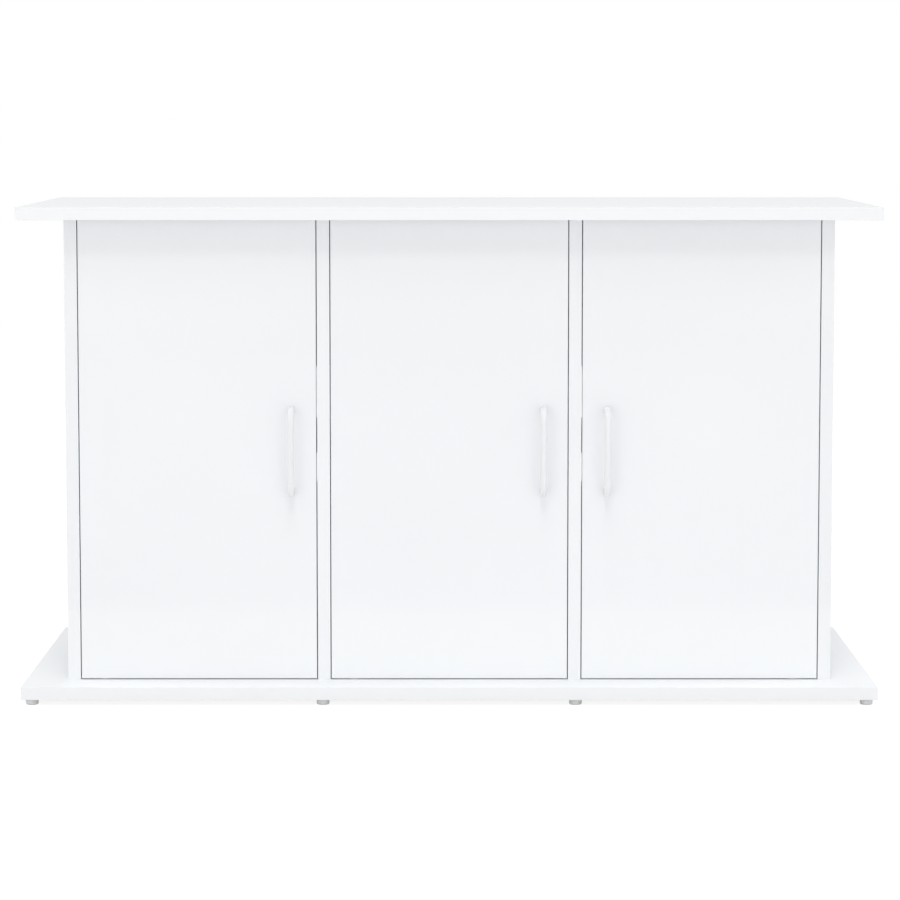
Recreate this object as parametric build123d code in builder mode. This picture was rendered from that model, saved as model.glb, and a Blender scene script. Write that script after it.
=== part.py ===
from build123d import *
import math
import os

os.makedirs("parts", exist_ok=True)

# A free-standing aquarium stand: a box of coated chipboard between two larger plates,
# with three inset doors that turn on steel pins in nylon bushes.
# Millimetres. +X is to the right, +Y to the back, +Z up. The origin is on the floor,
# under the middle of the stand.

# ---------------------------------------------------------------- driving dimensions
plate_length = 1010.0  # top and base panel, left to right
plate_depth = 410.0  # top and base panel, front to back
carcass_height = 580.0  # underside of the base panel to the top of the top panel
board = 15.0  # every fixed panel
overhang = 50.0  # the plates stand out past the body on all four sides
foot_height = 7.0

door_thickness = 15.0
door_gap = 1.2  # the shadow line all round each door
edge_round = 0.4  # edge band, rounded over
pivot_margin = 5.0  # pivot's distance past the place where the door's corner would just rub

rail_height = 200.0  # each of the two boards that close the back
shelf_level = 270.5  # base panel's top to the shelf's underside
shelf_side_gap = 1.0
shelf_swing_clearance = 2.5  # shelf's front edge to the turning door
hose_gap = 12.0  # shelf's back edge to the rails

handle_centres = 96.0
handle_width = 8.0
handle_thickness = 11.0
handle_projection = 30.0
handle_bend = 11.0  # radius at the middle of the bar
handle_from_edge = 29.0
handle_level = 275.0  # handle's middle above the base panel's top

foot_diameter = 15.0
foot_round = 1.2
foot_from_front = 12.0
foot_from_end = 12.0
foot_spigot_diameter = 6.0
foot_spigot_length = 8.0

# ---------------------------------------------------------------- hardware and fits
fit = 0.05  # radial clearance of a pin, dowel or shank in its hole
end_clearance = 0.5  # a blind hole is this much deeper than what goes in
end_chamfer = 0.1  # on a pin's or dowel's ends, as a share of its diameter
recess_span = 0.6  # a cross recess, as a share of its head's diameter
recess_width = 0.25  # its arms, as a share of the shank's diameter
recess_depth = 0.6  # and how deep it is, as a share of the head's height
countersink = 90.0
touch_gap = 0.3  # between a magnet and its strike plate

dowel_diameter = 8.0
dowel_in_face = 10.0
dowel_in_edge = 20.0

cam_diameter = 15.0
cam_height = 12.0
cam_slot_width = 2.0
cam_slot_depth = 2.5
cam_reach = 34.0  # board's end to the middle of the cam
cam_bore_diameter = 7.6
cam_from_front = 45.0  # an upright's front edge to its front cams
cam_from_rail = 30.0  # its back cams to the back rails' inner face
dowel_past_cam = 60.0  # each dowel stands this much further in than its cam
bolt_thread_diameter = 5.0
bolt_thread_length = 10.5
bolt_collar_length = 3.0
bolt_shank_diameter = 5.0
bolt_head_diameter = 7.0
bolt_head_length = 4.0
bolt_past_cam = 2.0  # the head's end past the middle of the cam
bolt_passage_diameter = 8.0
rail_dowel_offset = 60.0

rail_screw_diameter = 4.0
rail_screw_head = 8.0
rail_screw_length = 40.0

shelf_pin_diameter = 5.0
shelf_pin_in_wall = 6.0
shelf_pin_reach = 8.0
shelf_pin_width = 9.0
shelf_pin_height = 6.0
shelf_pin_from_edge = 35.0

pivot_diameter = 5.0
pivot_in_door = 25.0
pivot_in_bush = 9.0
pivot_collar_diameter = 7.5
bush_diameter = 10.0
bush_length = 10.0
bush_flange_diameter = 11.6
bush_flange = 0.6
bush_float = 0.1  # axial play between the pin's collar and the bush's flange

handle_screw_diameter = 4.0
handle_screw_head = 8.0
handle_screw_head_height = 2.6
handle_screw_in_handle = 11.0

catch_length = 44.0
catch_depth = 16.0
catch_height = 13.0
catch_from_latch = 40.0
catch_corner = 1.5
magnet_length = 26.0
magnet_depth = 5.0
magnet_height = 8.0
catch_screw_spacing = 35.0
catch_screw_diameter = 3.5
catch_screw_head = 6.6
catch_screw_in_board = 10.0
strike_length = 30.0
strike_height = 12.0
strike_thickness = 2.0
strike_below_door_top = 1.0
strike_screw_diameter = 3.0
strike_screw_head = 6.0
strike_screw_length = 12.0

# ---------------------------------------------------------------- what follows from them
body_length = plate_length - 2 * overhang
body_depth = plate_depth - 2 * overhang
front = -body_depth / 2
back = body_depth / 2
base_under = foot_height
base_top = base_under + board
top_under = base_under + carcass_height - board
inner_height = top_under - base_top

bay_width = (body_length - 4 * board) / 3
bay_pitch = bay_width + board
side_x = (body_length - board) / 2
partition_x = bay_pitch / 2
rail_front = back - board
rail_middle_y = back - board / 2
rail_length = body_length - 2 * board
rail_levels = (base_top + rail_height / 2, top_under - rail_height / 2)
cam_rows = (front + cam_from_front, rail_front - cam_from_rail)
dowel_rows = (cam_rows[0] + dowel_past_cam, cam_rows[1] - dowel_past_cam)

door_width = bay_width - 2 * door_gap
door_height = inner_height - 2 * door_gap
door_bottom = base_top + door_gap
door_top = top_under - door_gap
door_back = front + door_thickness
half_door = door_thickness / 2
pivot_inset = (half_door**2 - door_gap**2) / (2 * door_gap) + pivot_margin
pivot_y = front + half_door
swing_radius = math.hypot(pivot_inset, half_door)

shelf_under = base_top + shelf_level
shelf_front = pivot_y + swing_radius + shelf_swing_clearance
shelf_back = rail_front - hose_gap
shelf_pin_rows = (shelf_front + shelf_pin_from_edge, shelf_back - shelf_pin_from_edge)
shelf_pin_z = shelf_under - shelf_pin_height / 2

catch_y = door_back + strike_thickness + touch_gap + catch_depth / 2
strike_z = door_top - strike_below_door_top - strike_height / 2
handle_z = base_top + handle_level
handle_rows = (handle_z - handle_centres / 2, handle_z + handle_centres / 2)

up, down = (0, 0, 1), (0, 0, -1)
to_right, to_left = (1, 0, 0), (-1, 0, 0)
to_back, to_front = (0, 1, 0), (0, -1, 0)

# name, middle of the bay, side of the latch and handle (+1 is the right-hand side)
bays = (("left", -bay_pitch, 1), ("middle", 0.0, 1), ("right", bay_pitch, -1))

# name, middle, back edge, side that the cams open to, sides that carry a shelf
walls = (
    ("side_panel_left", -side_x, back, 1, (1,)),
    ("partition_left", -partition_x, rail_front, -1, (-1, 1)),
    ("partition_right", partition_x, rail_front, 1, (-1, 1)),
    ("side_panel_right", side_x, back, -1, (-1,)),
)


def write(piece, name):
    """Labels a finished piece and writes it as its own STEP file."""
    piece.part.label = name
    export_step(piece.part, f"parts/{name}.step")


def facing(side):
    """The direction of a board's right-hand (+1) or left-hand (-1) face."""
    return to_right if side > 0 else to_left


def pivot_x(bay_middle, latch):
    """The door's turning axis, at the end away from its latch."""
    return bay_middle - latch * (door_width / 2 - pivot_inset)


def handle_x(bay_middle, latch):
    return bay_middle + latch * (door_width / 2 - handle_from_edge)


def catch_x(bay_middle, latch):
    return bay_middle + latch * (door_width / 2 - catch_from_latch)


def rail_ends(level, offset):
    """Planes on a rail's two ends, facing out, at one height beside its middle."""
    z = level + offset
    return (
        Plane(origin=(-rail_length / 2, rail_middle_y, z), z_dir=to_left),
        Plane(origin=(rail_length / 2, rail_middle_y, z), z_dir=to_right),
    )


def wall_ends(x, rows):
    """Planes on an upright board's lower and upper end, facing out."""
    lower = [Plane(origin=(x, y, base_top), z_dir=down) for y in rows]
    upper = [Plane(origin=(x, y, top_under), z_dir=up) for y in rows]
    return lower + upper


def wall_cams(x, side):
    """Planes on a board's face at its cams: local X points along the bolt, to the plate."""
    face_x = x + side * board / 2
    levels = ((base_top + cam_reach, down), (top_under - cam_reach, up))
    return [
        Plane(origin=(face_x, y, z), x_dir=bolt, z_dir=facing(side))
        for y in cam_rows
        for z, bolt in levels
    ]


def rail_cams():
    """The same on the rails' inner faces, one cam near each end."""
    x = rail_length / 2 - cam_reach
    return [
        Plane(origin=(end * x, rail_front, z), x_dir=facing(end), z_dir=to_front)
        for end in (-1, 1)
        for z in rail_levels
    ]


def shelf_pin_planes(wall_x, side):
    """Planes on an upright's face at its shelf supports, local Y up."""
    face_x = wall_x + side * board / 2
    along = to_back if side > 0 else to_front
    return [
        Plane(origin=(face_x, y, shelf_pin_z), x_dir=along, z_dir=facing(side))
        for y in shelf_pin_rows
    ]


def feet_places():
    """Eight feet: four along the front edge and four along the back edge."""
    x_end = plate_length / 2 - foot_from_end
    y_row = plate_depth / 2 - foot_from_front
    rows = (("front", -y_row), ("back", y_row))
    columns = (-x_end, -partition_x, partition_x, x_end)
    return [(row, number, x, y) for row, y in rows for number, x in enumerate(columns, 1)]


wall_xs = [x for _, x, _, _, _ in walls]
rail_dowel_ends = [
    plane
    for level in rail_levels
    for offset in (-rail_dowel_offset, rail_dowel_offset)
    for plane in rail_ends(level, offset)
]
rail_bolt_ends = [plane for level in rail_levels for plane in rail_ends(level, 0.0)]
rail_joint_zs = [
    level + offset
    for level in rail_levels
    for offset in (-rail_dowel_offset, rail_dowel_offset)
]


# ---------------------------------------------------------------- top and base panels
def plate(lowest, inner_face, inner_z):
    """A full-size panel with the holes for dowels, cam bolts and pivot bushes."""
    with BuildPart() as panel:
        with BuildSketch(Plane.XY.offset(lowest)):
            Rectangle(plate_length, plate_depth)
        extrude(amount=board)
        fillet(panel.edges(), edge_round)
        with Locations(
            [Plane(origin=(x, y, inner_z), z_dir=inner_face) for x in wall_xs for y in dowel_rows]
        ):
            Hole(dowel_diameter / 2 + fit, dowel_in_face + end_clearance)
        with Locations(
            [Plane(origin=(x, y, inner_z), z_dir=inner_face) for x in wall_xs for y in cam_rows]
        ):
            Hole(bolt_thread_diameter / 2 + fit, bolt_thread_length + end_clearance)
        with Locations(
            [
                Plane(origin=(pivot_x(middle, latch), pivot_y, inner_z), z_dir=inner_face)
                for _, middle, latch in bays
            ]
        ):
            Hole(bush_diameter / 2 + fit, bush_length + end_clearance)
    return panel


top_panel = plate(top_under, down, top_under)
with BuildPart() as top_panel_drilled:
    add(top_panel.part)
    with Locations(
        [
            Plane(origin=(catch_x(middle, latch) + side, catch_y, top_under), z_dir=down)
            for _, middle, latch in bays
            for side in (-catch_screw_spacing / 2, catch_screw_spacing / 2)
        ]
    ):
        Hole(catch_screw_diameter / 2 + fit, catch_screw_in_board + end_clearance)
write(top_panel_drilled, "top_panel")

base_panel = plate(base_under, up, base_top)
with BuildPart() as base_panel_drilled:
    add(base_panel.part)
    with Locations(
        [Plane(origin=(x, y, base_under), z_dir=down) for _, _, x, y in feet_places()]
    ):
        Hole(foot_spigot_diameter / 2 + fit, foot_spigot_length + end_clearance)
write(base_panel_drilled, "base_panel")

# ---------------------------------------------------------------- feet
with BuildPart() as foot:
    with BuildSketch():
        Circle(foot_diameter / 2)
    extrude(amount=foot_height)
    fillet(foot.edges().group_by(Axis.Z)[0], foot_round)
    with BuildSketch(Plane.XY.offset(foot_height)):
        Circle(foot_spigot_diameter / 2)
    extrude(amount=foot_spigot_length)
    chamfer(foot.edges().group_by(Axis.Z)[-1], foot_spigot_diameter * end_chamfer)

for row, number, x, y in feet_places():
    with BuildPart() as placed_foot:
        with Locations((x, y, 0)):
            add(foot.part)
    write(placed_foot, f"foot_{row}_{number}")

# ---------------------------------------------------------------- sides and partitions
for name, x, back_edge, cam_side, shelf_sides in walls:
    is_side = back_edge == back
    with BuildPart() as upright:
        with BuildSketch(Plane.XY.offset(base_top)):
            with Locations((x, (front + back_edge) / 2)):
                Rectangle(board, back_edge - front)
        extrude(amount=inner_height)
        fillet(upright.edges().filter_by(Axis.Z), edge_round)
        with Locations(wall_ends(x, dowel_rows)):
            Hole(dowel_diameter / 2 + fit, dowel_in_edge + end_clearance)
        with Locations(wall_ends(x, cam_rows)):
            Hole(bolt_passage_diameter / 2, cam_reach)
        with Locations(wall_cams(x, cam_side)):
            Hole(cam_diameter / 2 + fit, cam_height + end_clearance)
        for side in shelf_sides:
            with Locations(shelf_pin_planes(x, side)):
                Hole(shelf_pin_diameter / 2 + fit, shelf_pin_in_wall + end_clearance)
        if is_side:
            inner = facing(cam_side)
            inner_x = x + cam_side * board / 2
            with Locations(
                [Plane(origin=(inner_x, rail_middle_y, z), z_dir=inner) for z in rail_joint_zs]
            ):
                Hole(dowel_diameter / 2 + fit, dowel_in_face + end_clearance)
            with Locations(
                [Plane(origin=(inner_x, rail_middle_y, z), z_dir=inner) for z in rail_levels]
            ):
                Hole(bolt_thread_diameter / 2 + fit, bolt_thread_length + end_clearance)
        else:
            with Locations(
                [Plane(origin=(x, back_edge, z), z_dir=to_back) for z in rail_joint_zs]
            ):
                Hole(
                    rail_screw_diameter / 2 + fit,
                    rail_screw_length - board + end_clearance,
                )
    write(upright, name)

# ---------------------------------------------------------------- back rails
for name, level in zip(("back_rail_lower", "back_rail_upper"), rail_levels):
    with BuildPart() as rail:
        with BuildSketch(Plane.XY.offset(level - rail_height / 2)):
            with Locations((0, rail_middle_y)):
                Rectangle(rail_length, board)
        extrude(amount=rail_height)
        fillet(rail.edges().filter_by(Axis.X), edge_round)
        for offset in (-rail_dowel_offset, rail_dowel_offset):
            with Locations(rail_ends(level, offset)):
                Hole(dowel_diameter / 2 + fit, dowel_in_edge + end_clearance)
        with Locations(rail_ends(level, 0.0)):
            Hole(bolt_passage_diameter / 2, cam_reach)
        with Locations([plane for plane in rail_cams() if plane.origin.Z == level]):
            Hole(cam_diameter / 2 + fit, cam_height + end_clearance)
        with Locations(
            [
                Plane(origin=(x, back, level + offset), z_dir=to_back)
                for x in (-partition_x, partition_x)
                for offset in (-rail_dowel_offset, rail_dowel_offset)
            ]
        ):
            CounterSinkHole(
                rail_screw_diameter / 2 + fit,
                rail_screw_head / 2 + fit,
                counter_sink_angle=countersink,
            )
    write(rail, name)


# ---------------------------------------------------------------- fasteners
def countersunk_screw(diameter, head, length, name):
    """A screw along -Z whose flat head is flush with its XY plane, with a cross recess."""
    taper = (head - diameter) / 2
    with BuildPart() as screw:
        with BuildSketch(Plane.XZ):
            with BuildLine():
                Polyline(
                    (0, 0),
                    (head / 2, 0),
                    (diameter / 2, -taper),
                    (diameter / 2, -length + diameter / 2),
                    (0, -length),
                    close=True,
                )
            make_face()
        revolve(axis=Axis.Z)
        with BuildSketch():
            Rectangle(head * recess_span, diameter * recess_width)
            Rectangle(diameter * recess_width, head * recess_span)
        extrude(amount=-taper * recess_depth, mode=Mode.SUBTRACT)
    screw.part.label = name
    return screw.part


with BuildPart() as dowel:
    with Locations((0, 0, (dowel_in_face - dowel_in_edge) / 2)):
        Cylinder(dowel_diameter / 2, dowel_in_face + dowel_in_edge)
    chamfer(dowel.edges().filter_by(GeomType.CIRCLE), dowel_diameter * end_chamfer)

with BuildPart() as dowels:
    for x in wall_xs:
        with Locations(wall_ends(x, dowel_rows)):
            add(dowel.part)
    with Locations(rail_dowel_ends):
        add(dowel.part)
write(dowels, "dowels")

bolt_end = cam_reach + bolt_past_cam
with BuildPart() as cam_bolt:
    with BuildSketch(Plane.XZ):
        with BuildLine():
            Polyline(
                (0, bolt_thread_length),
                (bolt_thread_diameter / 2, bolt_thread_length),
                (bolt_thread_diameter / 2, 0),
                (bolt_head_diameter / 2, 0),
                (bolt_head_diameter / 2, -bolt_collar_length),
                (bolt_shank_diameter / 2, -bolt_collar_length),
                (bolt_shank_diameter / 2, -bolt_end + bolt_head_length),
                (bolt_head_diameter / 2, -bolt_end + bolt_head_length),
                (bolt_head_diameter / 2, -bolt_end),
                (0, -bolt_end),
                close=True,
            )
        make_face()
    revolve(axis=Axis.Z)

with BuildPart() as cam_bolts:
    for x in wall_xs:
        with Locations(wall_ends(x, cam_rows)):
            add(cam_bolt.part)
    with Locations(rail_bolt_ends):
        add(cam_bolt.part)
write(cam_bolts, "cam_bolts")

with BuildPart() as cam_lock:
    with BuildSketch():
        Circle(cam_diameter / 2)
    extrude(amount=-cam_height)
    with BuildSketch():
        Rectangle(cam_diameter * recess_span, cam_slot_width)
        Rectangle(cam_slot_width, cam_diameter * recess_span)
    extrude(amount=-cam_slot_depth, mode=Mode.SUBTRACT)
    bore_start = Plane(origin=(-bolt_past_cam - end_clearance, 0, -board / 2), z_dir=to_right)
    with BuildSketch(bore_start):
        Circle(cam_bore_diameter / 2)
    extrude(amount=cam_diameter, mode=Mode.SUBTRACT)

with BuildPart() as cam_locks:
    for _, x, _, cam_side, _ in walls:
        with Locations(wall_cams(x, cam_side)):
            add(cam_lock.part)
    with Locations(rail_cams()):
        add(cam_lock.part)
write(cam_locks, "cam_locks")

rail_screw = countersunk_screw(
    rail_screw_diameter, rail_screw_head, rail_screw_length, "rail_screw"
)
with BuildPart() as rail_screws:
    with Locations(
        [
            Plane(origin=(x, back, z), z_dir=to_back)
            for x in (-partition_x, partition_x)
            for z in rail_joint_zs
        ]
    ):
        add(rail_screw)
write(rail_screws, "rail_screws")

# ---------------------------------------------------------------- shelves and their supports
with BuildPart() as shelf_support:
    with BuildSketch():
        Circle(shelf_pin_diameter / 2)
    extrude(amount=-shelf_pin_in_wall)
    with BuildSketch():
        Rectangle(shelf_pin_width, shelf_pin_height)
    extrude(amount=shelf_pin_reach)
    fillet(shelf_support.edges().group_by(Axis.Z)[-1], edge_round)

for name, middle, _ in bays:
    with BuildPart() as shelf:
        with BuildSketch(Plane.XY.offset(shelf_under)):
            with Locations((middle, (shelf_front + shelf_back) / 2)):
                Rectangle(bay_width - 2 * shelf_side_gap, shelf_back - shelf_front)
        extrude(amount=board)
        fillet(shelf.edges(), edge_round)
    write(shelf, f"shelf_{name}")

    with BuildPart() as shelf_supports:
        for side in (-1, 1):
            with Locations(shelf_pin_planes(middle + side * bay_pitch / 2, -side)):
                add(shelf_support.part)
    write(shelf_supports, f"shelf_supports_{name}")

# ---------------------------------------------------------------- pivots
with BuildPart() as bush:
    with BuildSketch():
        Circle(bush_diameter / 2)
    extrude(amount=-bush_length)
    with BuildSketch():
        Circle(bush_flange_diameter / 2)
    extrude(amount=bush_flange)
    with Locations(Plane.XY.offset(bush_flange)):
        Hole(pivot_diameter / 2 + fit)

with BuildPart() as pivot_pin:
    with Locations((0, 0, (door_gap + pivot_in_door - pivot_in_bush) / 2)):
        Cylinder(pivot_diameter / 2, pivot_in_door + pivot_in_bush + door_gap)
    chamfer(pivot_pin.edges().filter_by(GeomType.CIRCLE), pivot_diameter * end_chamfer)
    with BuildSketch(Plane.XY.offset(bush_flange + bush_float)):
        Circle(pivot_collar_diameter / 2)
    extrude(amount=door_gap - bush_flange - bush_float)

# ---------------------------------------------------------------- handle hardware
handle_screw_length = door_thickness + handle_screw_in_handle
with BuildPart() as handle_screw:
    with BuildSketch():
        Circle(handle_screw_head / 2)
    extrude(amount=handle_screw_head_height)
    fillet(handle_screw.edges().group_by(Axis.Z)[-1], handle_screw_head_height / 2)
    with BuildSketch():
        Circle(handle_screw_diameter / 2)
    extrude(amount=-handle_screw_length)
    with BuildSketch(Plane.XY.offset(handle_screw_head_height)):
        Rectangle(handle_screw_head * recess_span, handle_screw_diameter * recess_width)
        Rectangle(handle_screw_diameter * recess_width, handle_screw_head * recess_span)
    extrude(amount=-handle_screw_head_height * recess_depth, mode=Mode.SUBTRACT)

catch_screw = countersunk_screw(
    catch_screw_diameter, catch_screw_head, catch_height + catch_screw_in_board, "catch_screw"
)
strike_screw = countersunk_screw(
    strike_screw_diameter, strike_screw_head, strike_screw_length, "strike_screw"
)

# ---------------------------------------------------------------- one door and its bay
for name, middle, latch in bays:
    axis_x = pivot_x(middle, latch)
    grip_x = handle_x(middle, latch)
    magnet_x = catch_x(middle, latch)
    bush_planes = [
        Plane(origin=(axis_x, pivot_y, base_top), z_dir=up),
        Plane(origin=(axis_x, pivot_y, top_under), z_dir=down),
    ]
    strike_plane = Plane(origin=(magnet_x, door_back, strike_z), x_dir=to_right, z_dir=to_back)

    with BuildPart() as door:
        with BuildSketch(Plane.XY.offset(door_bottom)):
            with Locations((middle, pivot_y)):
                Rectangle(door_width, door_thickness)
        extrude(amount=door_height)
        fillet(door.edges(), edge_round)
        with Locations(
            Plane(origin=(axis_x, pivot_y, door_bottom), z_dir=down),
            Plane(origin=(axis_x, pivot_y, door_top), z_dir=up),
        ):
            Hole(pivot_diameter / 2 + fit, pivot_in_door + end_clearance)
        with Locations([Plane(origin=(grip_x, door_back, z), z_dir=to_back) for z in handle_rows]):
            Hole(handle_screw_diameter / 2 + fit)
        with Locations(strike_plane):
            Hole(
                strike_screw_diameter / 2 + fit,
                strike_screw_length - strike_thickness + end_clearance,
            )
    write(door, f"door_{name}")

    with BuildPart() as pivot_pins:
        with Locations(bush_planes):
            add(pivot_pin.part)
    write(pivot_pins, f"pivot_pins_{name}")

    with BuildPart() as bushes:
        with Locations(bush_planes):
            add(bush.part)
    write(bushes, f"pivot_bushes_{name}")

    bar_y = front - handle_projection + handle_thickness / 2
    with BuildPart() as handle:
        with BuildLine() as handle_path:
            FilletPolyline(
                (grip_x, front, handle_rows[0]),
                (grip_x, bar_y, handle_rows[0]),
                (grip_x, bar_y, handle_rows[1]),
                (grip_x, front, handle_rows[1]),
                radius=handle_bend,
            )
        foot_plane = Plane(origin=(grip_x, front, handle_rows[0]), x_dir=to_right, z_dir=to_front)
        with BuildSketch(foot_plane):
            Ellipse(handle_width / 2, handle_thickness / 2)
        sweep(path=handle_path.line)
        with Locations([Plane(origin=(grip_x, front, z), z_dir=to_back) for z in handle_rows]):
            Hole(handle_screw_diameter / 2 + fit, handle_screw_in_handle + end_clearance)
    write(handle, f"handle_{name}")

    with BuildPart() as handle_screws:
        with Locations([Plane(origin=(grip_x, door_back, z), z_dir=to_back) for z in handle_rows]):
            add(handle_screw.part)
    write(handle_screws, f"handle_screws_{name}")

    catch_front = catch_y - catch_depth / 2
    catch_middle_z = top_under - catch_height / 2
    magnet_mouth = Plane(origin=(magnet_x, catch_front, catch_middle_z), x_dir=to_right, z_dir=to_front)
    with BuildPart() as catch:
        with BuildSketch(Plane.XY.offset(top_under)):
            with Locations((magnet_x, catch_y)):
                Rectangle(catch_length, catch_depth)
        extrude(amount=-catch_height)
        fillet(catch.edges().filter_by(Axis.Z), catch_corner)
        with BuildSketch(magnet_mouth):
            Rectangle(magnet_length + 2 * fit, magnet_height + 2 * fit)
        extrude(amount=-magnet_depth - fit, mode=Mode.SUBTRACT)
        with Locations(
            [
                Plane(origin=(magnet_x + side, catch_y, top_under - catch_height), z_dir=down)
                for side in (-catch_screw_spacing / 2, catch_screw_spacing / 2)
            ]
        ):
            CounterSinkHole(
                catch_screw_diameter / 2 + fit,
                catch_screw_head / 2 + fit,
                counter_sink_angle=countersink,
            )
    write(catch, f"catch_body_{name}")

    with BuildPart() as magnet:
        with BuildSketch(magnet_mouth):
            Rectangle(magnet_length, magnet_height)
        extrude(amount=-magnet_depth)
    write(magnet, f"catch_magnet_{name}")

    with BuildPart() as catch_screws:
        with Locations(
            [
                Plane(origin=(magnet_x + side, catch_y, top_under - catch_height), z_dir=down)
                for side in (-catch_screw_spacing / 2, catch_screw_spacing / 2)
            ]
        ):
            add(catch_screw)
    write(catch_screws, f"catch_screws_{name}")

    strike_face = Plane(origin=(magnet_x, door_back + strike_thickness, strike_z), z_dir=to_back)
    with BuildPart() as strike_plate:
        with BuildSketch(strike_plane):
            RectangleRounded(strike_length, strike_height, catch_corner)
        extrude(amount=strike_thickness)
        with Locations(strike_face):
            CounterSinkHole(
                strike_screw_diameter / 2 + fit,
                strike_screw_head / 2 + fit,
                counter_sink_angle=countersink,
            )
    write(strike_plate, f"strike_plate_{name}")

    with BuildPart() as placed_strike_screw:
        with Locations(strike_face):
            add(strike_screw)
    write(placed_strike_screw, f"strike_screw_{name}")
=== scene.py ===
"""Looks of the aquarium stand cabinet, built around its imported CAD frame.

Each sub-assembly is a class that dresses its CAD nodes and adds the pieces whose surface is finer
than the CAD solid's. Lengths are in metres, in the frame's own axes: +X right, +Y back, +Z up.
"""
import logging
import math
from dataclasses import dataclass, field
from enum import Enum

import bmesh
import bpy
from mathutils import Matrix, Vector


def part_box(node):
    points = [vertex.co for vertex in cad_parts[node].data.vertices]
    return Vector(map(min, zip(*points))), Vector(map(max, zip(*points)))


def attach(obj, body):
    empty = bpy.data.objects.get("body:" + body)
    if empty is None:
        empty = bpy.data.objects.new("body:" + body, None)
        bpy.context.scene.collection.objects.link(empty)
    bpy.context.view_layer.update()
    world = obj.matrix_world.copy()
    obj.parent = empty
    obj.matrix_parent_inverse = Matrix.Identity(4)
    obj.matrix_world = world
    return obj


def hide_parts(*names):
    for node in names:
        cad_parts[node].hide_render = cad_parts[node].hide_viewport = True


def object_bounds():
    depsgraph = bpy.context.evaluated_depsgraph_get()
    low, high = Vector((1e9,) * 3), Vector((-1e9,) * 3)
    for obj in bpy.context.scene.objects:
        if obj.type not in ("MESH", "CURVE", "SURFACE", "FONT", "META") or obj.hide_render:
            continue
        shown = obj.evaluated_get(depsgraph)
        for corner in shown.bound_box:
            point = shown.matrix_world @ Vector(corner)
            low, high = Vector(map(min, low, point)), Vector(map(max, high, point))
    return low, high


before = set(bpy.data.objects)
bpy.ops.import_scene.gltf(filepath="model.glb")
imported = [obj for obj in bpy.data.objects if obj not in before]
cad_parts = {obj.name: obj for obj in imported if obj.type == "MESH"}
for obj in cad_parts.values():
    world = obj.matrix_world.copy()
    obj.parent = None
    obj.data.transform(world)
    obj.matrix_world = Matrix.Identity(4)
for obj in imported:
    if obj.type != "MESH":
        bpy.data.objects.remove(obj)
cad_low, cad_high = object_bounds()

Colour = tuple[float, float, float]
Point = tuple[float, float, float]

MM = 0.001
NOISE_MEAN = 0.5
QUARTER_TURN = math.pi / 2
FULL_TURN = 2 * math.pi
LOG = logging.getLogger("aquarium_stand")


class Flat(Enum):
    """The axis that a board is thin along."""

    X = 0
    Y = 1
    Z = 2


class Bay(Enum):
    """The three bays, named as their nodes are."""

    LEFT = "left"
    MIDDLE = "middle"
    RIGHT = "right"


class Ray(Enum):
    """The kinds of ray that a floor or a backdrop tells apart."""

    CAMERA = "Is Camera Ray"
    GLOSSY = "Is Glossy Ray"
    TRANSMISSION = "Is Transmission Ray"


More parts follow.
